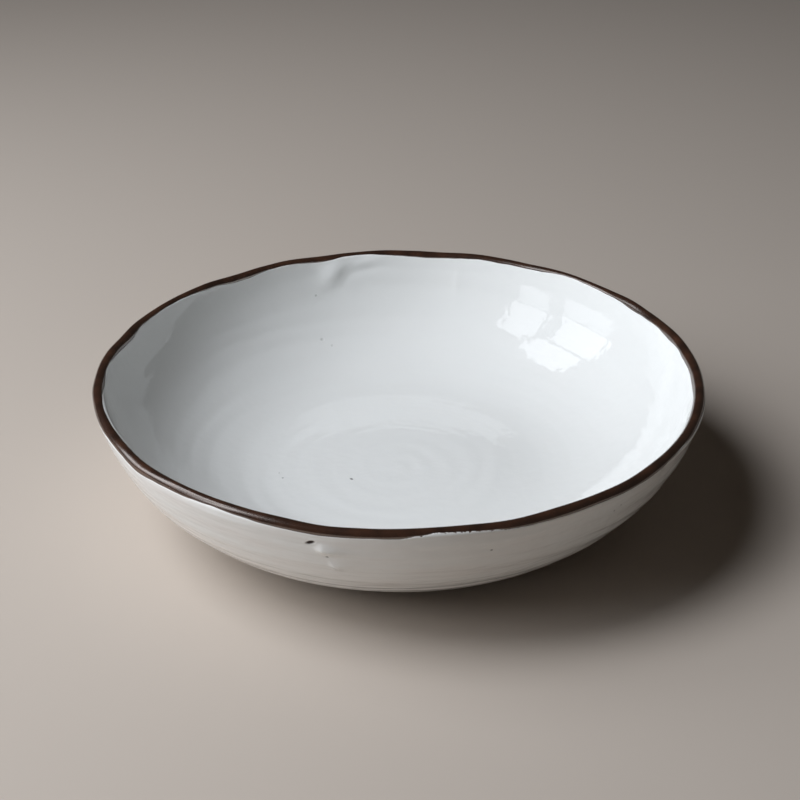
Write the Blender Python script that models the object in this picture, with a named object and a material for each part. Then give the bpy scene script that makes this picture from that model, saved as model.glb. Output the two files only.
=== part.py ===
"""A hand-thrown stoneware serving bowl: the clay body, its foot ring and the coats fired onto them.

Metres, +Z up. The origin is the centre of the circle that the bowl stands on.
Every piece is turned about the Z axis from an outline of (radius, height) points, and the wall is
then pressed a little out of round, as fingers leave it.
"""
import math

import bmesh
import bpy
import numpy as np

# Overall sizes
RIM_RADIUS = 0.150            # axis to the outermost point of the lip
BOWL_HEIGHT = 0.071           # table to the top of the lip
LIP_THICKNESS = 0.0055        # across the rounded lip

# Foot ring and floor
FOOT_RADIUS = 0.0885          # axis to the outer side of the foot ring
FOOT_WIDTH = 0.009            # outer side to inner side of the foot ring
FOOT_HEIGHT = 0.0045          # table to the lower edge of the outer glaze
FOOT_ROUNDING = 0.0012        # rounding of the two edges that the ring stands on
RECESS_DEPTH = 0.0065         # table to the middle of the ceiling inside the foot ring
FLOOR_THICKNESS = 0.0077      # recess ceiling to the floor inside the bowl, at the middle
FLOOR_RADIUS = 0.058          # axis to where the inner wall begins to rise

# Wall curves: steepness at each end, and how far each end's direction carries, as a share of the span
LIP_STEEPNESS = math.radians(76)
FOOT_STEEPNESS = math.radians(14)
OUTER_PULL_FOOT = 0.32
OUTER_PULL_LIP = 0.39
INNER_PULL_FLOOR = 0.47
INNER_PULL_LIP = 0.37

# Coats
GLAZE_THICKNESS = 0.0008
SEAM_GAP = 0.0003             # clearance between pieces that touch

# Finger presses along the lip: angle and spread in degrees, then the push outwards and upwards
LIP_PRESSES = (
    (62, 27, 0.0000, 0.0005),
    (127, 22, -0.0006, -0.0003),
    (160, 20, -0.0009, 0.0000),
    (207, 22, -0.0006, 0.0000),
    (236, 18, 0.0000, 0.0007),
    (260, 16, 0.0000, -0.0008),
    (290, 15, 0.0000, -0.0005),
    (333, 15, 0.0000, -0.0005),
)

# Fineness of the turned surfaces
TURN_STEPS = 64
WALL_STEPS = 10
ROLL_STEPS = 6
RECESS_STEPS = 4
ROUNDING_STEPS = 3
CURVE_SAMPLES = 400
MERGE_DISTANCE = 1e-6
CREASE_ANGLE = math.radians(35)

# Heights and radii that follow from the sizes above
roll_radius = LIP_THICKNESS / 2
roll_centre = np.array([RIM_RADIUS - roll_radius, BOWL_HEIGHT - roll_radius])
floor_height = RECESS_DEPTH + FLOOR_THICKNESS
clay_depth = GLAZE_THICKNESS + SEAM_GAP
ring_inner_radius = FOOT_RADIUS - FOOT_WIDTH


def direction(angle):
    return np.array([math.cos(angle), math.sin(angle)])


def wall_curve(start, start_angle, start_pull, end, end_angle, end_pull):
    """A cubic curve from start to end that leaves and arrives at the given angles."""
    span = np.linalg.norm(end - start)
    start_handle = start + start_pull * span * direction(start_angle)
    end_handle = end - end_pull * span * direction(end_angle)
    t = np.linspace(0, 1, CURVE_SAMPLES)[:, None]
    s = 1 - t
    return s**3 * start + 3 * s**2 * t * start_handle + 3 * s * t**2 * end_handle + t**3 * end


def travel(curve):
    """Distance along the curve to each of its points."""
    steps = np.linalg.norm(np.diff(curve, axis=0), axis=1)
    return np.concatenate([[0], np.cumsum(steps)])


def stations(curve, distances):
    """Points of the curve at these distances along it."""
    along = travel(curve)
    return [np.array([np.interp(d, along, curve[:, 0]), np.interp(d, along, curve[:, 1])])
            for d in distances]


def inset(outline, depth):
    """The outline moved to its right by depth, which is into the clay."""
    ahead = np.gradient(np.array(outline), axis=0)
    ahead /= np.linalg.norm(ahead, axis=1)[:, None]
    into_clay = np.stack([ahead[:, 1], -ahead[:, 0]], axis=1)
    return [point + depth * normal for point, normal in zip(outline, into_clay)]


def arc(centre, radius, start_angle, end_angle, steps):
    return [centre + radius * direction(a) for a in np.linspace(start_angle, end_angle, steps + 1)]


def press(angle, height):
    """Push outwards and upwards that the finger presses give the wall here, strongest at the lip."""
    reach = max(0.0, (height - floor_height) / (BOWL_HEIGHT - floor_height)) ** 2
    outwards = 0.0
    upwards = 0.0
    for press_angle, spread, push_out, push_up in LIP_PRESSES:
        away = (math.degrees(angle) - press_angle + 180) % 360 - 180
        if abs(away) < spread:
            strength = reach * (1 + math.cos(math.pi * away / spread)) / 2
            outwards += push_out * strength
            upwards += push_up * strength
    return outwards, upwards


def skin_stretches():
    """The fired surface as three outlines: floor and inner wall, lip, and outer wall."""
    across_lip = roll_radius * direction(LIP_STEEPNESS - math.pi / 2)
    inner_wall = wall_curve(np.array([FLOOR_RADIUS, floor_height]), 0.0, INNER_PULL_FLOOR,
                            roll_centre - across_lip, LIP_STEEPNESS, INNER_PULL_LIP)
    foot_corner = np.array([FOOT_RADIUS + 2 * SEAM_GAP, FOOT_HEIGHT])
    outer_wall = wall_curve(foot_corner, FOOT_STEEPNESS, OUTER_PULL_FOOT,
                            roll_centre + across_lip, LIP_STEEPNESS, OUTER_PULL_LIP)[::-1]
    inner_length = travel(inner_wall)[-1]
    outer_length = travel(outer_wall)[-1]
    floor_middle = np.array([0.0, floor_height])
    inside = [floor_middle] + stations(inner_wall, np.linspace(0, inner_length - SEAM_GAP, WALL_STEPS))
    lip = arc(roll_centre, roll_radius, LIP_STEEPNESS + math.pi / 2, LIP_STEEPNESS - math.pi / 2,
              ROLL_STEPS)
    outside = stations(outer_wall, np.linspace(SEAM_GAP, outer_length, WALL_STEPS))
    return inside, lip, outside


def recess_ceiling(edge_height, middle_height):
    """The domed underside of the floor, from its edge inside the foot ring to the axis."""
    edge_radius = ring_inner_radius - SEAM_GAP
    rise = middle_height - edge_height
    radii = np.linspace(edge_radius, 0, RECESS_STEPS + 1)
    return [np.array([r, middle_height - rise * (r / edge_radius) ** 2]) for r in radii]


def fired_material(name, colour, roughness):
    material = bpy.data.materials.new(name)
    material.use_nodes = True
    shader = material.node_tree.nodes["Principled BSDF"]
    shader.inputs["Base Color"].default_value = (*colour, 1)
    shader.inputs["Roughness"].default_value = roughness
    shader.inputs["Metallic"].default_value = 0
    return material


def turned_piece(name, outline, material):
    """Turn an outline about the Z axis. It either closes on itself or starts and ends on the axis."""
    mesh = bmesh.new()
    verts = [mesh.verts.new((r, 0, z)) for r, z in outline]
    edges = [mesh.edges.new(pair) for pair in zip(verts, verts[1:])]
    if outline[0][0] > 0:
        edges.append(mesh.edges.new((verts[-1], verts[0])))
    bmesh.ops.spin(mesh, geom=verts + edges, cent=(0, 0, 0), axis=(0, 0, 1),
                   angle=2 * math.pi, steps=TURN_STEPS, use_merge=True)
    bmesh.ops.remove_doubles(mesh, verts=mesh.verts, dist=MERGE_DISTANCE)
    for vert in mesh.verts:
        radius = math.hypot(vert.co.x, vert.co.y)
        angle = math.atan2(vert.co.y, vert.co.x)
        outwards, upwards = press(angle, vert.co.z)
        if radius > 0:
            vert.co.xy *= (radius + outwards) / radius
        vert.co.z += upwards
    bmesh.ops.recalc_face_normals(mesh, faces=mesh.faces)
    data = bpy.data.meshes.new(name)
    mesh.to_mesh(data)
    mesh.free()
    data.shade_smooth()
    data.set_sharp_from_angle(angle=CREASE_ANGLE)
    data.materials.append(material)
    piece = bpy.data.objects.new(name, data)
    bpy.context.collection.objects.link(piece)
    return piece


def coat_outline(front, back):
    """A coat's outline: along its fired face and back along the face against the clay."""
    return list(front) + list(back)[::-1]


def foot_ring_outline(top_height):
    """A square ring section with its two standing edges rounded."""
    outer_bend = np.array([FOOT_RADIUS - FOOT_ROUNDING, FOOT_ROUNDING])
    inner_bend = np.array([ring_inner_radius + FOOT_ROUNDING, FOOT_ROUNDING])
    down = -math.pi / 2
    return ([np.array([ring_inner_radius, top_height]), np.array([FOOT_RADIUS, top_height])]
            + arc(outer_bend, FOOT_ROUNDING, 0, down, ROUNDING_STEPS)
            + arc(inner_bend, FOOT_ROUNDING, down, 2 * down, ROUNDING_STEPS))


def build_bowl():
    inside, lip, outside = skin_stretches()
    skin = inside + lip + outside
    coat_back = inset(skin, GLAZE_THICKNESS)
    clay_skin = inset(skin, clay_depth)
    lip_start = len(inside)
    outside_start = lip_start + len(lip)

    seat_height = clay_skin[-1][1]
    ring_top = seat_height - SEAM_GAP
    ceiling_edge = ring_top - GLAZE_THICKNESS
    base_front = recess_ceiling(ceiling_edge, RECESS_DEPTH)
    base_back = recess_ceiling(ring_top, RECESS_DEPTH + GLAZE_THICKNESS)
    clay_underside = recess_ceiling(seat_height, RECESS_DEPTH + clay_depth)

    dark_clay = fired_material("dark stoneware", (0.080, 0.048, 0.032), 0.75)
    white_glaze = fired_material("white glaze", (0.76, 0.78, 0.79), 0.12)
    iron_wash = fired_material("iron brown wash", (0.045, 0.022, 0.014), 0.35)

    turned_piece("clay_body", clay_skin + clay_underside, dark_clay)
    turned_piece("foot_ring", foot_ring_outline(ring_top), dark_clay)
    turned_piece("inner_glaze", coat_outline(skin[:lip_start], coat_back[:lip_start]), white_glaze)
    turned_piece("rim_band", coat_outline(skin[lip_start:outside_start],
                                          coat_back[lip_start:outside_start]), iron_wash)
    turned_piece("outer_glaze", coat_outline(skin[outside_start:], coat_back[outside_start:]), white_glaze)
    turned_piece("base_glaze", coat_outline(base_front[::-1], base_back[::-1]), white_glaze)


for leftover in list(bpy.data.objects):
    bpy.data.objects.remove(leftover)
build_bowl()
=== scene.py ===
# %% [markdown]
# # A hand-thrown serving bowl
#
# The bowl is thrown in dark stoneware, brushed with iron along the lip and coated with a white glaze.
# This lesson dresses its plain CAD model. Lengths are in metres, in the CAD model's own frame, so a
# piece that is made here sits where the CAD model says.

import math

import bmesh
import bpy
import numpy as np
from mathutils import Matrix, Vector


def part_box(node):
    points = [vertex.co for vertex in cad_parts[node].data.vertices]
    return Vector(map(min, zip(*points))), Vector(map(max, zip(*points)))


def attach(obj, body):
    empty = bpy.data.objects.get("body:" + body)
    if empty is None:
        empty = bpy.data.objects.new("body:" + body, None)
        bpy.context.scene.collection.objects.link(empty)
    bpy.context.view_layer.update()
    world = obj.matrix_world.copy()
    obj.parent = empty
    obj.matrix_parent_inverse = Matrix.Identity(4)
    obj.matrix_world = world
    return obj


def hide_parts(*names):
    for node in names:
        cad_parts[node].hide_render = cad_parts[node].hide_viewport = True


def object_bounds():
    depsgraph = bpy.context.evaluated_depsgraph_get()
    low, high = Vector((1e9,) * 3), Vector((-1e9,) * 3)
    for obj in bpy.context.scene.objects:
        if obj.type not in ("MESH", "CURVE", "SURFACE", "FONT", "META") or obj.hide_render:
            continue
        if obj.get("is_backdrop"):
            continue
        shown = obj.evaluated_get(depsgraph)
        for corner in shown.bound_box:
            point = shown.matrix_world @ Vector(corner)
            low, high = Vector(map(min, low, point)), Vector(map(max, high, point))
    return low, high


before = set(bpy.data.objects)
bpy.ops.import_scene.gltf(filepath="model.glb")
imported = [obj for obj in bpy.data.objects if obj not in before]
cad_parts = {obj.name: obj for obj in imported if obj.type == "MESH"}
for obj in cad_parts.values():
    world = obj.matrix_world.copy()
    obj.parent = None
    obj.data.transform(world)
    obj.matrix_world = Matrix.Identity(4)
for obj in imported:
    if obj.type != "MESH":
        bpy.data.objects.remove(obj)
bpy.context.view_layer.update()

# %% [markdown]
# ## The outline
#
# A thrown bowl is one outline turned about an axis. A Curve with a Screw modifier could turn it, but
# fingers leave the wall a little out of round, and the glaze ends in a line that wanders. So the
# outline is kept as a walk along the fired surface: from the middle of the floor up the inner wall,
# over the lip, down the outer wall, round the foot and in to the middle of the base. Every point of
# the bowl then has two numbers, its angle round the axis and its distance along this walk.

# %% Sizes that the CAD model gives
MM = 0.001
CAD_COAT = 0.8 * MM         # thickness of the CAD model's glaze coats
HIGHEST_PRESS = 0.8 * MM    # space over the lip for the presses that raise it
MARK_SPACE = 0.2 * MM       # space outside the lip for its small marks

rim_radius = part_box("rim_band")[1].x - MARK_SPACE
lip_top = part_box("rim_band")[1].z - HIGHEST_PRESS
floor_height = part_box("inner_glaze")[0].z + CAD_COAT
wall_foot_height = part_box("outer_glaze")[0].z
foot_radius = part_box("foot_ring")[1].x
# Two sizes of the CAD model that no box gives
wall_foot_radius = 89.1 * MM
base_height = 6.5 * MM
print("rim radius, lip and floor height, mm:",
      [round(1000 * size, 2) for size in (rim_radius, lip_top, floor_height)])

# %% Sizes of the outline
LIP_THICKNESS = 5.5 * MM
FLOOR_RADIUS = 58 * MM
FOOT_WIDTH = 9 * MM
FOOT_ROUNDING = 1.2 * MM
FOOT_CORNER_DROP = 0.6 * MM
BASE_RISE = 2.0 * MM
LIP_STEEPNESS = math.radians(76)
FOOT_STEEPNESS = math.radians(14)
# How far the direction of each end carries a wall curve, as a share of its span
OUTER_PULLS = (0.32, 0.39)
INNER_PULLS = (0.47, 0.37)

# %% Curves of the outline
CURVE_SAMPLES = 1500
LINE_SAMPLES = 200


def direction(angle):
    return np.array([math.cos(angle), math.sin(angle)])


def wall_curve(start, start_angle, end, end_angle, pulls):
    """A cubic curve that leaves and arrives at the given angles."""
    span = np.linalg.norm(end - start)
    start_handle = start + pulls[0] * span * direction(start_angle)
    end_handle = end - pulls[1] * span * direction(end_angle)
    t = np.linspace(0, 1, CURVE_SAMPLES)[:, None]
    s = 1 - t
    return s**3 * start + 3 * s**2 * t * start_handle + 3 * s * t**2 * end_handle + t**3 * end


def arc(centre, radius, start_angle, end_angle):
    angles = np.linspace(start_angle, end_angle, LINE_SAMPLES)
    return np.array([centre + radius * direction(angle) for angle in angles])


def line(start, end):
    return start + np.linspace(0, 1, LINE_SAMPLES)[:, None] * (np.array(end) - start)


# %% Walk the outline
roll_radius = LIP_THICKNESS / 2
roll_centre = np.array([rim_radius - roll_radius, lip_top - roll_radius])
across_lip = roll_radius * direction(LIP_STEEPNESS - math.pi / 2)
floor_edge = np.array([FLOOR_RADIUS, floor_height])
wall_foot = np.array([wall_foot_radius, wall_foot_height])
foot_corner = np.array([foot_radius, wall_foot_height - FOOT_CORNER_DROP])
foot_inner_radius = foot_radius - FOOT_WIDTH
outer_bend = np.array([foot_radius - FOOT_ROUNDING, FOOT_ROUNDING])
inner_bend = np.array([foot_inner_radius + FOOT_ROUNDING, FOOT_ROUNDING])
base_edge = np.array([foot_inner_radius, base_height - BASE_RISE])
base_radii = np.linspace(foot_inner_radius, 0, CURVE_SAMPLES)
base_dome = base_height - BASE_RISE * (base_radii / foot_inner_radius) ** 2

stretches = [
    line(np.array([0.0, floor_height]), floor_edge),
    wall_curve(floor_edge, 0.0, roll_centre - across_lip, LIP_STEEPNESS, INNER_PULLS),
    arc(roll_centre, roll_radius, LIP_STEEPNESS + math.pi / 2, LIP_STEEPNESS - math.pi / 2),
    wall_curve(wall_foot, FOOT_STEEPNESS, roll_centre + across_lip, LIP_STEEPNESS, OUTER_PULLS)[::-1],
    line(wall_foot, foot_corner),
    line(foot_corner, [foot_radius, FOOT_ROUNDING]),
    arc(outer_bend, FOOT_ROUNDING, 0, -math.pi / 2),
    line(np.array([outer_bend[0], 0.0]), [inner_bend[0], 0.0]),
    arc(inner_bend, FOOT_ROUNDING, -math.pi / 2, -math.pi),
    line(np.array([foot_inner_radius, FOOT_ROUNDING]), base_edge),
    np.stack([base_radii, base_dome], axis=1),
]
outline = np.concatenate([stretches[0]] + [stretch[1:] for stretch in stretches[1:]])
steps = np.linalg.norm(np.diff(outline, axis=0), axis=1)
walked = np.concatenate([[0], np.cumsum(steps)])
ends = walked[np.cumsum([len(stretch) - 1 for stretch in stretches])]
# Ends of the inner wall, the lip, the outer wall, the foot ring and the base
LIP_START, LIP_END, WALL_END, FOOT_END, WALK_END = (ends[i] for i in (1, 2, 3, 9, 10))
ahead = np.gradient(outline, walked, axis=0)
ahead /= np.linalg.norm(ahead, axis=1)[:, None]
facing = np.stack([-ahead[:, 1], ahead[:, 0]], axis=1)
print("walk, mm: lip from", round(1000 * LIP_START, 1), "to", round(1000 * LIP_END, 1),
      "and foot of the wall at", round(1000 * WALL_END, 1))

# %% [markdown]
# ## Presses along the lip
#
# Thrown ware keeps the marks of its making. Fingers bend the lip out of round, broadly while the
# wall is pulled up and in small steps when the lip is rounded. Noise could stand in for this, but
# each press has a place that the eye remembers, so they are listed.

# %% Presses along the lip
# angle and spread in degrees, then the push outwards and upwards in mm
BROAD_PRESSES = (
    (62, 27, 0.0, 0.5), (127, 22, -0.6, -0.3), (160, 20, -0.9, 0.0), (207, 22, -0.6, 0.0),
    (236, 18, 0.0, 0.7), (260, 16, 0.0, -0.8), (290, 15, 0.0, -0.5), (333, 15, 0.0, -0.5),
)
FINGER_PRESSES = (
    (14, 8, 0.0, 0.5), (32, 7, 0.0, 0.6), (49.5, 8, 0.0, 0.4), (60, 5, 0.0, -0.3),
    (72, 7, 0.0, 0.3), (81.5, 6, 0.0, -0.3), (94, 7, 0.0, 0.45), (106.5, 7, 0.0, -0.5),
    (116, 5, 0.0, 0.3), (129, 8, 0.0, -0.6), (147, 13, 0.0, -0.4), (166, 7, -0.2, -0.6),
    (188, 6, 0.2, 0.0), (204, 8, 0.0, -0.3), (218, 6, 0.0, -0.4), (227, 5, 0.0, 0.2),
    (236, 7, 0.0, -0.2), (251, 6, 0.0, 0.3), (263, 5, 0.0, 0.2), (288, 7, 0.0, -0.25),
    (298, 7, 0.0, 0.2), (313.5, 9, 0.0, -0.6),
)
LIP_PRESSES = BROAD_PRESSES + FINGER_PRESSES


def away(angle, degrees):
    """Degrees from a mark's angle, between -180 and 180."""
    return (np.degrees(angle) - degrees + 180) % 360 - 180


def press(angle, height):
    """Push outwards and upwards that the finger presses give the wall, strongest at the lip."""
    reach = np.clip((height - floor_height) / (lip_top - floor_height), 0, None) ** 2
    outwards = np.zeros_like(height)
    upwards = np.zeros_like(height)
    for degrees, spread, push_out, push_up in LIP_PRESSES:
        share = np.clip(np.abs(away(angle, degrees)) / spread, 0, 1)
        strength = reach * (1 + np.cos(math.pi * share)) / 2
        outwards += push_out * MM * strength
        upwards += push_up * MM * strength
    return outwards, upwards


print(len(LIP_PRESSES), "presses along the lip")

# %% [markdown]
# ## Dents, folds and lumps
#
# A thumb that steadies the wall leaves a soft dent, and wet clay that slips leaves a fold or a lump.
# A sculpting brush could push the mesh about, but a bell curve with a place, a size and a lean can
# be moved later without starting again.

# %% Soft dents in the wall
# side of the wall, angle in degrees, distance from the lip in mm down that side, half-widths round and
# along the wall in mm, lean in degrees, height in mm, and how many times longer the mark is towards
# growing angles than the other way
DENTS = (
    # a fold under the lip with a hollow beside it, and a ridge and a groove along the lip
    ("inside", 105.2, 7.6, 4.1, 8.0, 54, 1.75, 1.6),
    ("inside", 103.0, 12.9, 4.0, 7.0, 50, -0.25, 1),
    ("inside", 98.3, 3.4, 11.0, 2.2, -7, 0.5, 1),
    ("inside", 97.5, 7.2, 11.0, 2.0, -7, -0.35, 1),
    # a finger's streak up the wall, and the hollow all round where the floor meets the wall
    ("inside", 76.2, 13.0, 2.0, 8.0, 0, 0.2, 1),
    ("inside", 270.0, 88.0, 2000.0, 26.0, 0, -1.1, 1),
    # a roll of glaze under the lip, two lumps, a dimple, and the line where the turning tool stopped
    ("outside", 235.0, 3.0, 45.0, 3.2, 0, 0.55, 1),
    ("outside", 257.7, 8.4, 2.9, 3.0, 10, 1.45, 3),
    ("outside", 259.2, 20.8, 1.9, 4.0, -17, 0.7, 4),
    ("outside", 261.0, 31.0, 3.5, 1.5, 0, -0.2, 1),
    ("outside", 273.0, 48.5, 75.0, 1.8, 0, -0.35, 1),
)


def mark_frame(angle, distance, side, degrees, depth, lean):
    """Metres round and along the wall from a mark, turned by its lean."""
    place = LIP_START - depth * MM if side == "inside" else LIP_END + depth * MM
    radius = np.interp(place, walked, outline[:, 0])
    across = radius * np.radians(away(angle, degrees))
    down = distance - place
    turn = math.radians(lean)
    return (across * math.cos(turn) + down * math.sin(turn),
            down * math.cos(turn) - across * math.sin(turn))


def dent(angle, distance):
    """Height of the soft dents here."""
    height = np.zeros_like(distance)
    for side, degrees, depth, half_round, half_along, lean, push, tail in DENTS:
        across, down = mark_frame(angle, distance, side, degrees, depth, lean)
        across = across / (half_round * MM * np.where(across > 0, tail, 1))
        height += push * MM * np.exp(-across**2 - (down / (half_along * MM)) ** 2)
    return height


print(len(DENTS), "soft dents")


# %% A point of the bowl
def skin(angle, distance, lift):
    """Points at these angles and distances along the walk, lifted out of the fired surface."""
    out = lift + dent(angle, distance)
    radius = np.interp(distance, walked, outline[:, 0]) + out * np.interp(distance, walked, facing[:, 0])
    height = np.interp(distance, walked, outline[:, 1]) + out * np.interp(distance, walked, facing[:, 1])
    outwards, upwards = press(angle, height)
    radius = radius + outwards
    return np.stack([radius * np.cos(angle), radius * np.sin(angle), height + upwards], axis=-1)


# %% [markdown]
# ## Throwing rings
#
# As the wheel turns, the fingers climb and leave one long spiral of shallow rings. A bump texture
# could draw them, but the glossy coat mirrors the light panels, and only real relief bends their
# edges in the same way from every side. So the rings are a height that is added to the surface. Low
# on the outer wall they fade, because a bowl is turned smooth there with a blade.

# %% Throwing rings
# spacing and height of the wide and the fine rings on each side of the wall, in mm, and how many wide
# rings the spiral climbs in one turn
INSIDE_RINGS = (13.0, 0.075, 5.2, 0.008, 1)
OUTSIDE_RINGS = (11.5, 0.150, 4.3, 0.025, -5)
# Sway of the hand: its size in rings, its length along the wall and its waves round the bowl
SWAYS = ((0.30, 19 * MM, 2), (0.18, 7 * MM, -3))
LEAST_SWAY = 0.2
STEADY_FLOOR = 80 * MM
FINE_SWAY = 1.7
# The rings swell and ebb along the wall, the fine ones where the wide ones ebb
SWELL = 0.35
SWELL_LENGTH = 27 * MM
SWELL_START = 1.0
FINE_SWELL = 1.6
# They are calm near the axis, on the floor and on the base, and start from a small button
MIDDLE_CALM = 5 * MM
BASE_CALM = 30 * MM
BUTTON = 4.5 * MM
BUTTON_HEIGHT = 0.12 * MM
# Above the foot of the wall: where the blade begins and works fully, and how much of the rings it leaves
TRIM_START = 66 * MM
TRIM_FULL = 40 * MM
TRIM_LEAVES = 0.4


def rings(angle, distance):
    """Height of the spiral that the fingers leave as the wheel turns, and the button at its start."""
    turns = angle / (2 * math.pi)
    sway = sum(size * np.sin(distance / length + count * angle) for size, length, count in SWAYS)
    sway = sway * np.clip(distance / STEADY_FLOOR, LEAST_SWAY, 1)
    swell = 1 - SWELL + SWELL * np.sin(distance / SWELL_LENGTH + angle + SWELL_START)
    relief = []
    for wide, wide_height, fine, fine_height, climb in (INSIDE_RINGS, OUTSIDE_RINGS):
        wide_wave = np.cos(2 * math.pi * (distance / (wide * MM) + climb * turns + sway))
        fine_wave = np.cos(2 * math.pi * (distance / (fine * MM) - turns + FINE_SWAY * sway))
        wide_relief = wide_height * MM * wide_wave * swell
        relief.append(wide_relief + fine_height * MM * fine_wave * (FINE_SWELL - swell))
    calm = np.clip(distance / MIDDLE_CALM, 0, 1) * np.clip((WALK_END - distance) / BASE_CALM, 0, 1)
    trimmed = np.interp(WALL_END - distance, (TRIM_FULL, TRIM_START), (TRIM_LEAVES, 1))
    button = BUTTON_HEIGHT * np.exp(-(distance / BUTTON) ** 2)
    return button + calm**2 * np.where(distance > LIP_START, trimmed * relief[1], relief[0])


# %% Slow hills in the wall
# waves round the bowl, length along the wall and start of each
HILLS = ((7, 11 * MM, 0.0), (11, -8 * MM, 2.0), (4, 17 * MM, 4.0))
HILL_HEIGHT = 0.05 * MM
HILL_FADE = 40 * MM


def unevenness(angle, distance):
    """The slow hills and hollows of a wall that was pulled up by hand."""
    hills = sum(np.sin(count * angle + distance / length + start) for count, length, start in HILLS)
    from_axis = np.minimum(distance, WALK_END - distance)
    reach = np.clip((from_axis - FLOOR_RADIUS) / HILL_FADE, 0, 1)
    return HILL_HEIGHT * hills * reach


# %% [markdown]
# ## Pits in the glaze
#
# Gas that leaves the glaze in the kiln opens small pits, and the edges heal to a slight rise. Dark
# clay shows at the bottom. Dots of colour could stand in for them, but a pit catches light on its
# edge, so each is a hollow in the surface. It stays shallower than the coat.

# %% Pits in the glaze
# side of the wall, angle in degrees, distance from the lip in mm, half-lengths round and along in mm,
# lean, depth in mm, and the share of bare clay at the bottom
PITS = (
    ("outside", 255.6, 4.95, 3.0, 1.25, -34, 0.45, 1.0),
    ("outside", 258.1, 13.9, 0.8, 0.8, 0, 0.35, 0.7),
    ("outside", 285.5, 11.1, 0.7, 0.55, 0, 0.25, 0.7),
    ("outside", 309.7, 9.1, 0.6, 0.5, 0, 0.20, 0.8),
    ("outside", 311.0, 7.0, 0.5, 0.4, 0, 0.20, 0.8),
    ("inside", 209.5, 142.0, 1.1, 0.75, -30, 0.35, 0.9),
    ("inside", 191.2, 109.5, 0.7, 0.6, 0, 0.25, 0.6),
    ("inside", 186.4, 108.2, 0.5, 0.5, 0, 0.20, 0.5),
    ("inside", 111.3, 45.6, 1.2, 1.2, 0, 0.20, 0.15),
    ("inside", 109.1, 50.4, 1.0, 0.9, 0, 0.20, 0.15),
    ("inside", 110.2, 19.2, 0.9, 0.9, 0, 0.20, 0.24),
)
PIT_STEEPNESS = 1.5
# The healed edge: its height, then its place and width as shares of the pit's size
PIT_EDGE = 0.05 * MM
PIT_EDGE_PLACE = 1.25
PIT_EDGE_WIDTH = 0.3
BARE_STEEPNESS = 2.2


def nearness(angle, distance, mark):
    """0 at a mark's middle, 1 at its edge and more outside it."""
    side, degrees, depth, half_round, half_along, lean = mark[:6]
    across, down = mark_frame(angle, distance, side, degrees, depth, lean)
    return np.hypot(across / (half_round * MM), down / (half_along * MM))


def pitting(angle, distance):
    """Height of the pits with their raised edges, and the share of bare clay in them."""
    height = np.zeros_like(distance)
    bare = np.zeros_like(distance)
    for pit in PITS:
        *_, pit_depth, clay_share = pit
        near = nearness(angle, distance, pit)
        hollow = np.clip(1 - near**2, 0, 1) ** PIT_STEEPNESS
        healed = np.exp(-((near - PIT_EDGE_PLACE) / PIT_EDGE_WIDTH) ** 2)
        height += PIT_EDGE * healed - pit_depth * MM * hollow
        bare = np.maximum(bare, clay_share * np.clip(BARE_STEEPNESS * (1 - near), 0, 1))
    return height, bare


print(len(PITS), "pits")

# %% [markdown]
# ## Where the white ends and the brown begins
#
# The iron was brushed over the lip and the white glaze runs up to it, in a line that wanders by a
# millimetre or two. A texture could mix the two colours, but the white ends in a rounded bead that
# catches light, so the line has to be an edge of the mesh. It is drawn as a few widths round
# the lip, and smoothed between them.

# %% The two glaze lines
# angle in degrees, then mm over the start of the lip's roll (inside) or past its end (outside)
INSIDE_LINE = (
    (0, -0.7), (6, -0.9), (9, -0.3), (15, -1.1), (21, -0.1), (25, -0.3), (30, -0.9), (36, 0.5), (42, 1.2),
    (50, 1.6), (57, 0.4), (66, 0.2), (71, 0.4), (75, 0.0), (84, -0.5), (90, 0.0), (99, 1.4), (102, 1.3),
    (108, -0.3), (117, 0.6), (120, 0.6), (126, -0.8), (129, -0.8), (135, 0.0), (147, 1.2), (159, 0.8),
    (165, -0.9), (168, -0.8), (180, 0.9), (186, -0.8), (192, 1.5), (197, 2.2), (215, 1.0), (240, 0.3),
    (270, 0.5), (300, 0.1), (330, 0.6), (348, -0.2), (354, -1.5),
)
OUTSIDE_LINE = (
    (0, -0.8), (15, -0.6), (45, -1.1), (75, -0.5), (105, -0.9), (135, -0.4), (165, -1.0), (185, -0.6),
    (198, -0.2), (207, -1.0), (213, -0.6), (219, 0.5), (225, -0.3), (231, -0.8), (238, -1.6), (243, -1.0),
    (251, -0.3), (261, -0.2), (266, -0.6), (270, -0.3), (273, -1.6), (276, -2.7), (282, -2.3), (285, -2.0),
    (288, -1.2), (294, -0.8), (298, -0.5), (306, -0.7), (315, -0.9), (321, -0.6), (324, -1.6), (328, -2.3),
    (336, -1.5), (350, -1.0),
)
# Tremble of the brush: waves round the lip, size in mm and start
BRUSH_WAVES = ((41, 0.05, 0.3), (67, 0.04, 1.9), (103, 0.03, 4.4))


def glaze_line(points, angle):
    """The line's wander in metres: a smooth curve through the points, and the brush's own tremble."""
    stops = np.array([stop for stop, _ in points])
    widths = np.array([width for _, width in points])
    degrees = np.degrees(angle) % 360
    before = np.searchsorted(stops, degrees, side="right") - 1
    after = (before + 1) % len(stops)
    gap = (stops[after] - stops[before]) % 360
    share = ((degrees - stops[before]) % 360) / gap
    ease = share * share * (3 - 2 * share)
    wander = widths[before] + ease * (widths[after] - widths[before])
    tremble = sum(size * np.sin(count * angle + start) for count, size, start in BRUSH_WAVES)
    return (wander + tremble) * MM


def inside_edge(angle):
    return LIP_START + glaze_line(INSIDE_LINE, angle)


def outside_edge(angle):
    return LIP_END + glaze_line(OUTSIDE_LINE, angle)


print("glaze lines drawn through", len(INSIDE_LINE), "and", len(OUTSIDE_LINE), "widths")

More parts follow.
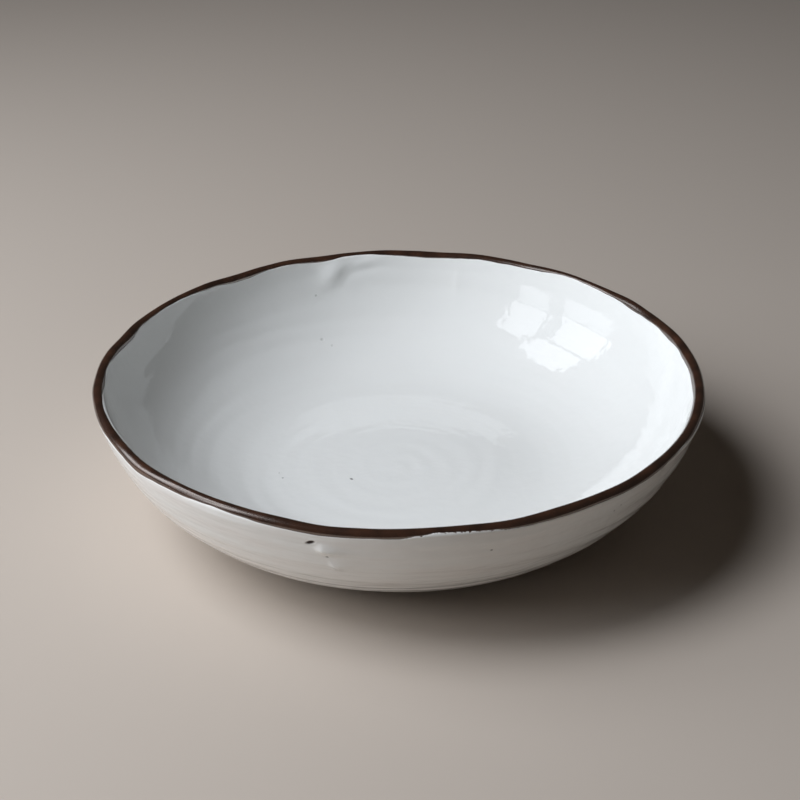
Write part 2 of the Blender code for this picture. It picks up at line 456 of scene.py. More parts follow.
# %% [markdown]
# ## Turning a piece
#
# Each piece is a stack of rings of points, joined ring to ring. A Spin would turn one outline, but
# here every ring may wander on its own. Near the axis a ring needs fewer points, so its count halves
# on the way in, and no face becomes a needle. Where a pit lies, the faces are cut finer, and then
# every point of the fired face is set on the surface with its marks.

# %% Rings of points
TURN_POINTS = 720
# Distances from the axis where a ring's count halves, and rows just inside them
HALVINGS = (44 * MM, 22 * MM, 11 * MM, 5.5 * MM)
INWARD_ROWS = (43 * MM, 21.9 * MM, 10.9 * MM, 5.4 * MM)


def points_at(distance):
    """Points in a ring at this distance from the axis."""
    halvings = sum(distance < limit for limit in HALVINGS)
    return TURN_POINTS // 2**halvings


def ring(count, distance, lift, fired):
    """A ring on the walk. The distance and the lift may depend on the angle."""
    angle = np.arange(count) * 2 * math.pi / count
    distance = np.broadcast_to(distance(angle) if callable(distance) else distance, angle.shape)
    lift = np.broadcast_to(lift, angle.shape)
    return skin(angle, distance, lift), distance, lift, fired


def plain_ring(count, radius, height):
    """A ring that no finger reaches."""
    angle = np.arange(count) * 2 * math.pi / count
    points = np.stack([radius * np.cos(angle), radius * np.sin(angle), np.full(count, height)], axis=-1)
    return points, np.zeros(count), np.zeros(count), 0


print("points in the rings on the way in:", [points_at(row) for row in INWARD_ROWS])


# %% Join two rings
def join_rings(mesh, first, second):
    """Faces between two rings, of which one may have twice the other's points or be a single point."""
    few, many = sorted((first, second), key=len)
    count = len(few)
    if count == 1:
        for i in range(len(many)):
            mesh.faces.new((few[0], many[i], many[(i + 1) % len(many)]))
        return
    if count == len(many):
        for i in range(count):
            j = (i + 1) % count
            mesh.faces.new((few[i], few[j], many[j], many[i]))
        return
    for i in range(count):
        start, end = few[i], few[(i + 1) % count]
        left, middle, right = many[2 * i], many[2 * i + 1], many[(2 * i + 2) % len(many)]
        mesh.faces.new((start, middle, left))
        mesh.faces.new((start, end, middle))
        mesh.faces.new((end, right, middle))


# %% Cut faces finer at the pits and lumps
ON_FACE = 0.5       # a point's fired value is 1 on the fired face and 0 on the back
# Cuts in each edge, the half-width in mm below which a lump counts as small, and how far the cuts reach
# round a mark: a share of its size and a margin in mm
PIT_CUTS = 3
SMALL_MARK = 3.0
PIT_REACH = 1.6
PIT_MARGIN = 1.2


def cut_finer_at_pits(mesh, distance_layer, fired_layer):
    verts = [vert for vert in mesh.verts if vert[fired_layer] > ON_FACE]
    points = np.array([vert.co for vert in verts])
    angle = np.arctan2(points[:, 1], points[:, 0])
    distance = np.array([vert[distance_layer] for vert in verts])
    edges = set()
    for mark in PITS + tuple(mark for mark in DENTS if mark[0] == "outside" and mark[3] < SMALL_MARK):
        reach = PIT_REACH + PIT_MARGIN / min(mark[3], mark[4])
        near = {verts[i] for i in np.flatnonzero(nearness(angle, distance, mark) < reach)}
        edges |= {edge for vert in near for edge in vert.link_edges if edge.other_vert(vert) in near}
    if edges:
        bmesh.ops.subdivide_edges(mesh, edges=list(edges), cuts=PIT_CUTS, use_grid_fill=True)


# %% Join a stack of rings
def joined_stack(name, stack, closed):
    """Join a stack of rings to a mesh whose points keep their distance, lift and side."""
    mesh = bmesh.new()
    distance_layer = mesh.verts.layers.float.new("distance")
    lift_layer = mesh.verts.layers.float.new("lift")
    fired_layer = mesh.verts.layers.float.new("fired")
    loops = []
    for points, distances, lifts, fired in stack:
        loop = [mesh.verts.new(point) for point in points]
        for vert, distance, lift in zip(loop, distances, lifts):
            vert[distance_layer] = distance
            vert[lift_layer] = lift
            vert[fired_layer] = fired
        loops.append(loop)
    for first, second in zip(loops, loops[1:] + (loops[:1] if closed else [])):
        join_rings(mesh, first, second)
    if any(fired for *_, fired in stack):
        cut_finer_at_pits(mesh, distance_layer, fired_layer)
    bmesh.ops.recalc_face_normals(mesh, faces=mesh.faces)
    data = bpy.data.meshes.new(name)
    mesh.to_mesh(data)
    mesh.free()
    return data


# %% Set a piece's points
FAR_FROM_EDGE = 9 * MM
# Degrees of the outer glaze line where the white thins out raggedly: middle and spread
RAGGED_MIDDLE = 280
RAGGED_SPREAD = 10


def kept_values(data, name):
    values = np.empty(len(data.vertices), np.float32)
    data.attributes[name].data.foreach_get("value", values)
    return values.astype(float)


def give_values(data, name, kind, field, values):
    """Give every point a value that the finishes can read."""
    made = data.attributes.new(name, kind, "POINT")
    made.data.foreach_set(field, values.astype(np.float32).ravel())


def turned_piece(name, stack, closed, marks, edge=None):
    """Turn a stack of rings to a piece, and set the points of its fired face on their marks."""
    data = joined_stack(name, stack, closed)
    points = np.empty(3 * len(data.vertices), np.float32)
    data.vertices.foreach_get("co", points)
    points = points.reshape(-1, 3).astype(float)
    angle = np.arctan2(points[:, 1], points[:, 0])
    distance, lift, fired = (kept_values(data, layer) for layer in ("distance", "lift", "fired"))
    height, bare = marks(angle, distance)
    on_face = fired > ON_FACE
    points[on_face] = skin(angle, distance, lift + height)[on_face]
    data.vertices.foreach_set("co", points.astype(np.float32).ravel())

    turned = np.stack([np.cos(angle), np.sin(angle), distance / MM], axis=-1)
    to_edge = np.full(len(points), FAR_FROM_EDGE) if edge is None else np.abs(edge(angle) - distance)
    ragged = np.sqrt(np.clip(1 - np.abs(away(angle, RAGGED_MIDDLE)) / RAGGED_SPREAD, 0, 1))
    give_values(data, "turned", "FLOAT_VECTOR", "vector", turned)
    give_values(data, "bare", "FLOAT", "value", bare)
    give_values(data, "to_edge", "FLOAT", "value", to_edge / MM)
    give_values(data, "ragged", "FLOAT", "value", ragged * (distance > LIP_START))
    data.shade_smooth()
    data.update()
    piece = bpy.data.objects.new(name, data)
    bpy.context.collection.objects.link(piece)
    print(name, "has", len(data.vertices), "points and", len(data.polygons), "faces")
    return piece


# %% [markdown]
# ## The white glaze inside and outside
#
# A fired glaze ends in a rounded bead, a quarter of a millimetre high, where it stopped running. A
# Solidify and a Bevel modifier could give a coat its edge, but not a bead that follows a wandering
# line. So the rows of points crowd together at the bead and spread out to about a millimetre over
# the wall. The back of the coat lies on the clay and is never seen, so a few rows do there.

# %% Rows of points
BEAD = 0.25 * MM
# The swell behind the bead: height, place and width
BEAD_SWELL = 0.06 * MM
SWELL_PLACE = 0.7 * MM
SWELL_WIDTH = 0.5 * MM
COAT_DEPTH = 0.70 * MM
THIN_EDGE = 1.8 * MM
ROW = 1.05 * MM
LINE_FADE = 7 * MM
BEAD_GAPS = np.array([0.0, 0.02, 0.06, 0.12, 0.25, 0.45, 0.7, 1.05, 1.5, 2.1, 2.9, 3.8]) * MM


def rows_from_edge(length):
    """Distances from the glaze line: close together at the bead, then a row apart."""
    rest = length - BEAD_GAPS[-1]
    count = int(round(rest / ROW))
    return np.concatenate([BEAD_GAPS, BEAD_GAPS[-1] + rest * np.arange(1, count + 1) / count])


def bead_lift(gap):
    """The rounded edge of a coat, and the swell behind it."""
    inside = np.clip(1 - gap / BEAD, 0, 1)
    swell = BEAD_SWELL * np.exp(-((gap - SWELL_PLACE) / SWELL_WIDTH) ** 2)
    return swell - BEAD * (1 - np.sqrt(1 - inside**2))


def back_lift(gap):
    """The back of a coat, which is thin at the glaze line."""
    return -(BEAD if gap < THIN_EDGE else COAT_DEPTH)


def inner_row(gap):
    return lambda angle: LIP_START - gap + (inside_edge(angle) - LIP_START) * math.exp(-gap / LINE_FADE)


def outer_row(gap):
    return lambda angle: LIP_END + gap + (outside_edge(angle) - LIP_END) * math.exp(-gap / LINE_FADE)


def glaze_marks(angle, distance):
    pits, bare = pitting(angle, distance)
    return rings(angle, distance) + unevenness(angle, distance) + pits, bare


# %% The white inside
FLOOR_MIDDLE_GAP = 0.9 * MM
# Rows on the back: the second one, where the wide steps begin, and the step
BACK_SECOND = 1.5 * MM
BACK_START = 3.5 * MM
BACK_STEP = 9 * MM

gaps = rows_from_edge(LIP_START - FLOOR_MIDDLE_GAP)
front = [ring(points_at(LIP_START - gap), inner_row(gap), bead_lift(gap), 1) for gap in gaps]
middle = ring(1, 0.0, 0.0, 1)
back_gaps = [0.0, BACK_SECOND] + list(np.arange(BACK_START, LIP_START - HALVINGS[0], BACK_STEP))
back_gaps += [LIP_START - row for row in INWARD_ROWS]
back = [ring(points_at(LIP_START - gap), inner_row(gap), back_lift(gap), 0) for gap in back_gaps]
back_middle = ring(1, 0.0, -COAT_DEPTH, 0)
white_inside = turned_piece("white_glaze_inside", [middle] + front[::-1] + back + [back_middle], False,
                            glaze_marks, inside_edge)

# %% The white outside
FOOT_BARE = 1.4 * MM
# Where the wide steps on the back stop: above the lower edge and below the upper one
BACK_LOW = 2 * MM
BACK_HIGH = 3 * MM

gaps = rows_from_edge(WALL_END - LIP_END - FOOT_BARE)
lower_edge = gaps[-1]
front = [ring(TURN_POINTS, outer_row(gap), bead_lift(gap) + bead_lift(lower_edge - gap), 1)
         for gap in gaps]
back_gaps = [lower_edge] + list(np.arange(lower_edge - BACK_LOW, BACK_HIGH, -BACK_STEP))
back_gaps += [BACK_SECOND, 0.0]
back = [ring(TURN_POINTS, outer_row(gap), back_lift(min(gap, lower_edge - gap)), 0) for gap in back_gaps]
white_outside = turned_piece("white_glaze_outside", front + back, True, glaze_marks, outside_edge)

# %% [markdown]
# ## The iron lip
#
# The brown band is a thin wash over the roll of the lip. A Torus could stand in for it, but the lip
# is bent and its two lines wander, so it is turned like the coats. It reaches a little way under
# both white coats, which lie on it, so no gap opens where they meet.

# %% The brown lip
TUCK = 1.5 * MM
LIP_ROWS = 30
LIP_BACK_ROWS = 8
BAND_DEPTH = 0.9 * MM
DIP = 1.15 * BEAD
DIP_WIDTH = 0.12 * MM
# Unevenness of the wash: height, waves round the lip and per mm across it, and start
WASH_WAVES = ((0.04 * MM, 23, 1, 0.0), (0.05 * MM, 9, 0, 1.0))


def lip_row(share):
    """A row on the lip, from 0 under the white inside to 1 under the white outside."""
    def distance(angle):
        start = inside_edge(angle) - TUCK
        end = outside_edge(angle) + TUCK
        return start + share * (end - start)
    return distance


def lip_marks(angle, distance):
    """The wash dips under the white at both lines, and has a slight unevenness of its own."""
    inside_gap = distance - inside_edge(angle)
    outside_gap = outside_edge(angle) - distance
    under = sum(1 / (1 + np.exp(gap / DIP_WIDTH)) for gap in (inside_gap, outside_gap))
    uneven = sum(size * np.sin(count * angle + across * distance / MM + start)
                 for size, count, across, start in WASH_WAVES)
    return uneven - DIP * under, np.zeros_like(distance)


front = [ring(TURN_POINTS, lip_row(share), 0.0, 1) for share in np.linspace(0, 1, LIP_ROWS)]
back = [ring(TURN_POINTS, lip_row(share), -BAND_DEPTH, 0) for share in np.linspace(1, 0, LIP_BACK_ROWS)]
iron_lip = turned_piece("iron_lip", front + back, True, lip_marks)

# %% [markdown]
# ## The clay wall
#
# The coats sit on a wall of dark stoneware. They could be left without it, because it shows
# only in a narrow bare line above the foot, but a bowl that is cut or chipped later needs its clay.
# It follows the same walk a little deeper, with wide steps, and comes out to the bare line.

# %% The stoneware wall
CLAY_DEPTH = 1.1 * MM
# Rows of the clay: the edge of the floor, the step, rows over the lip, and gaps below lip and above foot
CLAY_FLOOR_EDGE = 50 * MM
CLAY_STEP = 6 * MM
CLAY_LIP_ROWS = 7
CLAY_TOP_GAP = 3 * MM
CLAY_FOOT_GAP = 5 * MM
# mm above the foot of the wall, and mm under the fired surface
BARE_LINE_ROWS = ((4.0, 1.1), (2.6, 0.5), (2.0, 0.2), (1.0, 0.15), (0.2, 0.15))
# The flat seat of the foot ring, and the hollow inside it
SEAT_RISE = 0.9 * MM
SEAT_INSET = 1.2 * MM
SEAT_INNER_RADIUS = 76 * MM
UNDERSIDE_RADIUS = 50 * MM


def clay_marks(angle, distance):
    return np.zeros_like(distance), np.ones_like(distance)


wall_rows = list(INWARD_ROWS[::-1])
wall_rows += list(np.arange(CLAY_FLOOR_EDGE, LIP_START, CLAY_STEP))
wall_rows += list(np.linspace(LIP_START, LIP_END, CLAY_LIP_ROWS))
wall_rows += list(np.arange(LIP_END + CLAY_TOP_GAP, WALL_END - CLAY_FOOT_GAP, CLAY_STEP))
seat_height = wall_foot_height + SEAT_RISE
underside_height = base_height + CLAY_DEPTH
shell = [ring(1, 0.0, -CLAY_DEPTH, 0)]
shell += [ring(points_at(row), row, -CLAY_DEPTH, 0) for row in wall_rows]
shell += [ring(TURN_POINTS, WALL_END - gap * MM, -depth * MM, 0) for gap, depth in BARE_LINE_ROWS]
shell += [plain_ring(TURN_POINTS, radius, seat_height)
          for radius in (wall_foot_radius - SEAT_INSET, SEAT_INNER_RADIUS)]
shell += [plain_ring(points_at(row), row, underside_height) for row in (UNDERSIDE_RADIUS,) + INWARD_ROWS]
shell += [plain_ring(1, 0.0, underside_height)]
stoneware_wall = turned_piece("stoneware_wall", shell, False, clay_marks)

# %% [markdown]
# ## The foot ring
#
# The foot ring is bare all round, because a glazed foot would stick to the kiln shelf. It is cut with
# a blade on the wheel, which leaves fine lines. They could be a bump in the clay's finish, but the
# foot is seen in outline, so they are cut into its points.

# %% The foot ring
TURNING_LINE = 0.9 * MM
TURNING_DEPTH = 0.03 * MM
TURNING_FADE = 1.5 * MM
FOOT_TOP_GAP = 0.7 * MM
FOOT_ROW = 0.3 * MM
FOOT_SEAM = 0.3 * MM


def foot_marks(angle, distance):
    """Fine lines from the turning tool."""
    fade = np.clip(np.minimum(distance - WALL_END, FOOT_END - distance) / TURNING_FADE, 0, 1)
    lines = np.cos(2 * math.pi * distance / TURNING_LINE + angle)
    return TURNING_DEPTH * fade * (lines - 1), np.ones_like(distance)


foot_rows = np.arange(WALL_END + FOOT_TOP_GAP, FOOT_END, FOOT_ROW)
front = [ring(TURN_POINTS, row, 0.0, 1) for row in foot_rows]
top = [plain_ring(TURN_POINTS, radius, seat_height - FOOT_SEAM)
       for radius in (foot_inner_radius, foot_radius)]
stoneware_foot = turned_piece("stoneware_foot", front + top, True, foot_marks)

# %% [markdown]
# ## The white base
#
# Inside the foot ring the base is glazed again, up to a bead beside the ring. A flat disc would do
# from above, but the hollow is domed so that the bowl stands on its ring alone.

# %% The white base
BASE_EDGE_GAP = 0.4 * MM
BASE_ROW = 1.5 * MM
BASE_ROWS_STOP = 5 * MM
BASE_LAST_ROWS = (3 * MM, 1.2 * MM)

base_edge_distance = FOOT_END + BASE_EDGE_GAP
base_rows = list(np.arange(base_edge_distance, WALK_END - BASE_ROWS_STOP, BASE_ROW))
base_rows += [WALK_END - gap for gap in BASE_LAST_ROWS]
front = [ring(points_at(WALK_END - row), row, bead_lift(row - base_edge_distance), 1)
         for row in base_rows]
back = [ring(points_at(WALK_END - row), row, -COAT_DEPTH, 0)
        for row in base_rows[:1] + [WALK_END - inward for inward in INWARD_ROWS]]
stack = [ring(1, WALK_END, 0.0, 1)] + front[::-1] + back + [ring(1, WALK_END, -COAT_DEPTH, 0)]
white_base = turned_piece("white_glaze_base", stack, False, glaze_marks, lambda angle: base_edge_distance)

# %% [markdown]
# ## Finishes
#
# Each finish is a Principled shader whose colour, roughness and bump come from small node patterns.
# Painted images could do it too, but a pattern stays sharp from near and needs no file. Two helpers
# are enough: one turns a hex colour to linear light, the other adds a node.


# %% Helpers for finishes
def hex_colour(text):
    """A hex sRGB colour as linear light."""
    parts = [int(text[i:i + 2], 16) / 255 for i in (1, 3, 5)]
    return [p / 12.92 if p <= 0.04045 else ((p + 0.055) / 1.055) ** 2.4 for p in parts] + [1.0]


def add_node(tree, kind, settings=None, links=None):
    """Add a shader node. Settings are its properties or input values, links go to its inputs."""
    made = tree.nodes.new("ShaderNode" + kind)
    for key, value in (settings or {}).items():
        if isinstance(key, str) and hasattr(made, key):
            setattr(made, key, value)
        else:
            made.inputs[key].default_value = value
    for key, socket in (links or {}).items():
        tree.links.new(socket, made.inputs[key])
    return made


def new_finish(name):
    """A material without nodes, and its node tree."""
    finish = bpy.data.materials.new(name)
    finish.use_nodes = True
    finish.node_tree.nodes.clear()
    return finish, finish.node_tree


# %% [markdown]
# ### White glaze
#
# A glossy tin-white glaze on stoneware, poured and brushed, and fired to a glassy skin. The eye sees
# a cool white with a warm blush outside, where it is thin, faint streaks of the brush, soft waves in
# its reflections, a brown stain where it thins out over the iron, and dark clay in the pits. One
# flat white would look like plastic, so each of these is a pattern of its own.

# %% White glaze: colour
GLAZE_WHITE = "#F2F3F1"
GLAZE_BLUSH = "#F1EFEC"
# One wave of the blush is 12 mm wide and 43 mm long at the lip. Round the bowl, 1 is the lip's radius.
BLUSH_PLACE = (3.5, 3.5, 1 / 12)
INSIDE_BLUSH = 0.12

white_glaze, tree = new_finish("white stoneware glaze")
turned, bare, to_edge, ragged = (add_node(tree, "Attribute", {"attribute_name": name})
                                 for name in ("turned", "bare", "to_edge", "ragged"))
place = add_node(tree, "TexCoord")
blush_place = add_node(tree, "VectorMath", {"operation": "MULTIPLY", 1: BLUSH_PLACE},
                       {0: turned.outputs["Vector"]})
blush = add_node(tree, "TexNoise", {"Scale": 1.0, "Detail": 3.0, "Roughness": 0.5},
                 {"Vector": blush_place.outputs[0]})
walk = add_node(tree, "SeparateXYZ", {}, {0: turned.outputs["Vector"]})
outside = add_node(tree, "MapRange",
                   {"From Min": LIP_START / MM, "From Max": LIP_END / MM, "To Min": INSIDE_BLUSH},
                   {"Value": walk.outputs["Z"]})
blush_share = add_node(tree, "MapRange", {"From Min": 0.38, "From Max": 0.70},
                       {"Value": blush.outputs["Fac"], "To Max": outside.outputs["Result"]})
colour = add_node(tree, "Mix",
                  {"data_type": "RGBA", 6: hex_colour(GLAZE_WHITE), 7: hex_colour(GLAZE_BLUSH)},
                  {0: blush_share.outputs["Result"]})

# %% White glaze: stain and pits
IRON_STAIN = "#4A3026"
PIT_CLAY = "#2C1A14"
FRINGE = 1.2 * MM           # one wave of the stain's ragged edge
CLEAN_FRINGE = 0.08         # width of the stain in mm where the edge isn't ragged

fringe = add_node(tree, "TexNoise", {"Scale": 1 / FRINGE, "Detail": 3.0, "Roughness": 0.6},
                  {"Vector": place.outputs["Object"]})
fringe_share = add_node(tree, "MapRange",
                        {"From Min": 0.45, "From Max": 0.75, "To Min": CLEAN_FRINGE, "To Max": 1.0},
                        {"Value": fringe.outputs["Fac"]})
fringe_width = add_node(tree, "MapRange", {"To Min": CLEAN_FRINGE},
                        {"Value": ragged.outputs["Fac"], "To Max": fringe_share.outputs["Result"]})
over = add_node(tree, "Math", {"operation": "SUBTRACT"},
                {0: fringe_width.outputs["Result"], 1: to_edge.outputs["Fac"]})
stain = add_node(tree, "MapRange", {"From Min": -0.05, "From Max": 0.15}, {"Value": over.outputs[0]})
stained = add_node(tree, "Mix", {"data_type": "RGBA", 7: hex_colour(IRON_STAIN)},
                   {0: stain.outputs["Result"], 6: colour.outputs[2]})
with_pits = add_node(tree, "Mix", {"data_type": "RGBA", 7: hex_colour(PIT_CLAY)},
                     {0: bare.outputs["Fac"], 6: stained.outputs[2]})

# %% White glaze: streaks, waves and gloss
# One wave of the brush streaks is 3.6 mm wide and 15 mm long at the lip
STREAK_PLACE = (10, 10, 1 / 3.6)
STREAK_HEIGHT = 0.30 * MM
# Orange peel: soft waves in the glassy skin
PEEL_WAVE = 5 * MM
PEEL_HEIGHT = 0.10 * MM
GLASSY = 0.025
BARE_ROUGHNESS = 0.7

streak_place = add_node(tree, "VectorMath", {"operation": "MULTIPLY", 1: STREAK_PLACE},
                        {0: turned.outputs["Vector"]})
streaks = add_node(tree, "TexNoise", {"Scale": 1.0, "Detail": 1.0}, {"Vector": streak_place.outputs[0]})
off_base = add_node(tree, "MapRange", {"From Min": FOOT_END / MM, "From Max": WALL_END / MM},
                    {"Value": walk.outputs["Z"], "To Max": outside.outputs["Result"]})
streak_height = add_node(tree, "Math", {"operation": "MULTIPLY"},
                         {0: streaks.outputs["Fac"], 1: off_base.outputs["Result"]})
brushed = add_node(tree, "Bump", {"Strength": 1.0, "Distance": STREAK_HEIGHT},
                   {"Height": streak_height.outputs[0]})
peel = add_node(tree, "TexNoise", {"Scale": 1 / PEEL_WAVE, "Detail": 1.0},
                {"Vector": place.outputs["Object"]})
bump = add_node(tree, "Bump", {"Strength": 1.0, "Distance": PEEL_HEIGHT},
                {"Height": peel.outputs["Fac"], "Normal": brushed.outputs["Normal"]})
roughness = add_node(tree, "MapRange", {"To Min": GLASSY, "To Max": BARE_ROUGHNESS},
                     {"Value": bare.outputs["Fac"]})
shader = add_node(tree, "BsdfPrincipled", {"IOR": 1.5},
                  {"Base Color": with_pits.outputs[2], "Roughness": roughness.outputs["Result"],
                   "Normal": bump.outputs["Normal"]})
add_node(tree, "OutputMaterial", {}, {"Surface": shader.outputs["BSDF"]})
print("white glaze: done with", len(tree.nodes), "nodes")

# %% [markdown]
# ### Iron wash
#
# Iron oxide brushed on the lip and fired to a satin brown, nearly black where it is thick and amber
# where it is thin. It has a dry, finely pitted skin, so its highlights are broad and soft. The oxide
# bends light strongly, so its IOR is well over that of glass and the highlights are a little warm.

# %% Iron wash
THICK_IRON = "#26140D"
THIN_IRON = "#44291C"
IRON_GLINT = "#FFF6EF"
IRON_PATCH = 9 * MM
IRON_GRAIN = 0.8 * MM       # the fine pits of its dry skin
IRON_GRAIN_HEIGHT = 0.05 * MM

iron_wash, tree = new_finish("fired iron oxide wash")
place = add_node(tree, "TexCoord")
patches = add_node(tree, "TexNoise", {"Scale": 1 / IRON_PATCH, "Detail": 4.0},
                   {"Vector": place.outputs["Object"]})
patch_share = add_node(tree, "MapRange", {"From Min": 0.35, "From Max": 0.7},
                       {"Value": patches.outputs["Fac"]})
colour = add_node(tree, "Mix",
                  {"data_type": "RGBA", 6: hex_colour(THICK_IRON), 7: hex_colour(THIN_IRON)},
                  {0: patch_share.outputs["Result"]})
grain = add_node(tree, "TexNoise", {"Scale": 1 / IRON_GRAIN, "Detail": 2.0},
                 {"Vector": place.outputs["Object"]})
bump = add_node(tree, "Bump", {"Strength": 0.4, "Distance": IRON_GRAIN_HEIGHT},
                {"Height": grain.outputs["Fac"]})
roughness = add_node(tree, "MapRange", {"To Min": 0.17, "To Max": 0.28}, {"Value": grain.outputs["Fac"]})
shader = add_node(tree, "BsdfPrincipled", {"IOR": 2.4, "Specular Tint": hex_colour(IRON_GLINT)},
                  {"Base Color": colour.outputs[2], "Roughness": roughness.outputs["Result"],
                   "Normal": bump.outputs["Normal"]})
add_node(tree, "OutputMaterial", {}, {"Surface": shader.outputs["BSDF"]})
print("iron wash: done with", len(tree.nodes), "nodes")

# %% [markdown]
# ### Dark stoneware
#
# Bare stoneware fired dark brown. It is matte, and small grains of grog make it gritty and speckled.
# Noise alone gives soft clouds, so the grains come from a pattern of cells, which has round spots.

# %% Dark stoneware
DARK_CLAY = "#4A362B"
PALE_CLAY = "#5E4637"
GROG = "#8A715C"
GROG_SPACING = 1.3 * MM
GROG_HEIGHT = 0.08 * MM
CLAY_CLOUD = 14 * MM

dark_stoneware, tree = new_finish("bare dark stoneware")
place = add_node(tree, "TexCoord")
grog = add_node(tree, "TexVoronoi", {"Scale": 1 / GROG_SPACING}, {"Vector": place.outputs["Object"]})
grog_share = add_node(tree, "MapRange",
                      {"From Min": 0.12, "From Max": 0.30, "To Min": 1.0, "To Max": 0.0},
                      {"Value": grog.outputs["Distance"]})
tone = add_node(tree, "TexNoise", {"Scale": 1 / CLAY_CLOUD, "Detail": 4.0},
                {"Vector": place.outputs["Object"]})
clay = add_node(tree, "Mix",
                {"data_type": "RGBA", 6: hex_colour(DARK_CLAY), 7: hex_colour(PALE_CLAY)},
                {0: tone.outputs["Fac"]})
colour = add_node(tree, "Mix", {"data_type": "RGBA", 7: hex_colour(GROG)},
                  {0: grog_share.outputs["Result"], 6: clay.outputs[2]})
bump = add_node(tree, "Bump", {"Strength": 0.5, "Distance": GROG_HEIGHT},
                {"Height": grog.outputs["Distance"]})
shader = add_node(tree, "BsdfPrincipled", {"IOR": 1.5, "Roughness": 0.75},
                  {"Base Color": colour.outputs[2], "Normal": bump.outputs["Normal"]})
add_node(tree, "OutputMaterial", {}, {"Surface": shader.outputs["BSDF"]})
print("dark stoneware: done with", len(tree.nodes), "nodes")

# %% [markdown]
# ## Finish and place
#
# Each piece takes its finish, rides on the bowl's one body and replaces the CAD solid that it dresses.
# One list of the six keeps these together.

# %% Give each piece its finish and its place
pieces = (
    (white_inside, white_glaze, "white_glaze", "inner_glaze"),
    (white_outside, white_glaze, "white_glaze", "outer_glaze"),
    (white_base, white_glaze, "white_glaze", "base_glaze"),
    (iron_lip, iron_wash, "iron_wash", "rim_band"),
    (stoneware_wall, dark_stoneware, "dark_stoneware", "clay_body"),
    (stoneware_foot, dark_stoneware, "dark_stoneware", "foot_ring"),
)
for piece, finish, slot, node in pieces:
    piece.data.materials.append(finish)
    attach(piece, "root")
    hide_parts(node)
print("pieces:", [piece.name for piece, *_ in pieces])

# %% [markdown]
# ## The floor
#
# The bowl stands on a plain round floor in matt paint. A Plane would do, but its corners show from
# some sides, and a disc has none.

# %% Floor
FLOOR_REACH = 2.2
FLOOR_SIDES = 128
FLOOR_PAINT = "#C8BDB2"

floor_mesh = bmesh.new()
bmesh.ops.create_circle(floor_mesh, cap_ends=True, segments=FLOOR_SIDES, radius=FLOOR_REACH)
floor_data = bpy.data.meshes.new("studio_floor")
floor_mesh.to_mesh(floor_data)
floor_mesh.free()
studio_floor = bpy.data.objects.new("studio_floor", floor_data)
bpy.context.collection.objects.link(studio_floor)
floor_paint, tree = new_finish("matt floor paint")
shader = add_node(tree, "BsdfPrincipled", {"Base Color": hex_colour(FLOOR_PAINT), "Roughness": 0.9})
add_node(tree, "OutputMaterial", {}, {"Surface": shader.outputs["BSDF"]})
floor_data.materials.append(floor_paint)
studio_floor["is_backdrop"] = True
print("floor,", 2 * FLOOR_REACH, "m across")

# %% [markdown]
# ## The light
#
# Five soft panels lean on the left, and their edges mirror in the glaze. Three round cloths on the
# same side only brighten: two high ones fill the bowl, and a small low one reaches the outer wall. A
# picture of a sky could light the bowl too, but lamps can be moved one at a time, and need no file.

# %% Lamps
PANEL_PLANE = -1.0
PANEL_LEAN = math.radians(15)
# left, right, low and high edge in metres before the lean, then the glow
PANELS = (
    (-0.78, -0.43, 0.30, 0.55, 1.8), (-0.90, -0.43, 0.60, 1.50, 2.8),
    (-0.29, 0.20, 0.25, 0.39, 1.6), (-0.29, 0.23, 0.42, 1.06, 2.9), (-0.32, 0.25, 1.16, 1.85, 3.1),
)
CLOTH_AWAY = 1.6
# angle round the bowl and height over the floor in degrees, width in metres, then the glow
CLOTHS = ((197, 57, 0.8, 7.8), (206, 35, 0.8, 3.9), (196, 3.8, 0.2, 30.0))
DAYLIGHT = "#F5F9FF"


def soft_lamp(name, shape, width, height, place, glow):
    """An area lamp that glows evenly towards the bowl. Its power follows from its size."""
    lamp = bpy.data.lights.new(name, "AREA")
    lamp.shape = shape
    lamp.size = width
    lamp.size_y = height
    lamp.color = hex_colour(DAYLIGHT)[:3]
    area = width * height * (math.pi / 4 if shape == "DISK" else 1)
    lamp.energy = glow * math.pi * area
    holder = bpy.data.objects.new(name, lamp)
    holder.location = place
    bpy.context.collection.objects.link(holder)
    return holder


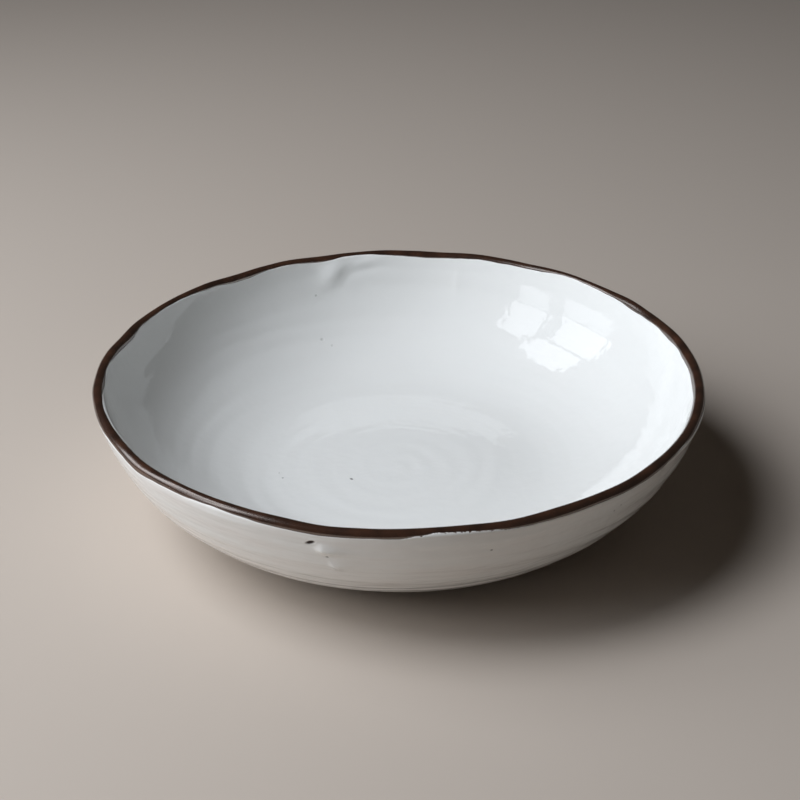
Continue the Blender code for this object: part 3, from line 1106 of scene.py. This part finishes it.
lean = Matrix.Rotation(-PANEL_LEAN, 3, "X")
for left, right, low, high, glow in PANELS:
    panel = soft_lamp("panel", "RECTANGLE", high - low, right - left,
                      lean @ Vector((PANEL_PLANE, (left + right) / 2, (low + high) / 2)), glow)
    panel.rotation_euler = (lean @ Matrix.Rotation(-math.pi / 2, 3, "Y")).to_euler()
for degrees, rise, width, glow in CLOTHS:
    flat = math.cos(math.radians(rise))
    towards = Vector((flat * math.cos(math.radians(degrees)), flat * math.sin(math.radians(degrees)),
                      math.sin(math.radians(rise))))
    cloth = soft_lamp("cloth", "DISK", width, width, CLOTH_AWAY * towards, glow)
    cloth.rotation_euler = towards.to_track_quat("Z", "Y").to_euler()
    # Only the panels mirror in the glaze
    cloth.visible_glossy = False
print(len(PANELS), "panels and", len(CLOTHS), "cloths")

# %% Surroundings
SURROUND_COLOUR = "#80776E"
SURROUND_LIGHT = 0.10
SURROUND_MIRRORED = 0.2

# The surroundings are seen by the camera and in reflections, and give the bowl only a little light
surroundings = bpy.data.worlds.new("surroundings")
surroundings.use_nodes = True
tree = surroundings.node_tree
tree.nodes.clear()
path = add_node(tree, "LightPath")
mirrored = add_node(tree, "MapRange", {"To Min": SURROUND_LIGHT, "To Max": SURROUND_MIRRORED},
                    {"Value": path.outputs["Is Glossy Ray"]})
seen = add_node(tree, "Math", {"operation": "MAXIMUM"},
                {0: path.outputs["Is Camera Ray"], 1: mirrored.outputs["Result"]})
backdrop = add_node(tree, "Background", {"Color": hex_colour(SURROUND_COLOUR)},
                    {"Strength": seen.outputs[0]})
add_node(tree, "OutputWorld", {}, {"Surface": backdrop.outputs["Background"]})
bpy.context.scene.world = surroundings

# %% [markdown]
# ## The camera
#
# The camera looks down into the bowl, so that the lip shows as an ellipse. Its tilt and its distance
# were worked out from that ellipse. A longer lens from farther away would give nearly the same view.

# %% Camera
CAMERA_PLACE = (0.0006, -0.6860, 0.4218)
CAMERA_DOWN = math.radians(28.32)
CAMERA_LENS = 70.0
CAMERA_SENSOR = 36.0
CAMERA_NEAR = 0.01

camera_data = bpy.data.cameras.new("camera")
camera_data.lens = CAMERA_LENS
camera_data.sensor_width = CAMERA_SENSOR
camera_data.clip_start = CAMERA_NEAR
camera = bpy.data.objects.new("camera", camera_data)
camera.location = CAMERA_PLACE
camera.rotation_euler = (math.pi / 2 - CAMERA_DOWN, 0, 0)
bpy.context.collection.objects.link(camera)
bpy.context.scene.camera = camera
bpy.context.scene.view_settings.view_transform = "Standard"
print("camera", round(Vector(CAMERA_PLACE).length, 3), "m from the bowl's origin")

# %% [markdown]
# ## The size of the dressed bowl
#
# The dressed bowl has to stay inside the CAD model's box, so its own box is printed here.

# %% Print the size of the dressed bowl
low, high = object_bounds()
print("visual box, mm:", [round(1000 * side, 2) for side in high - low])
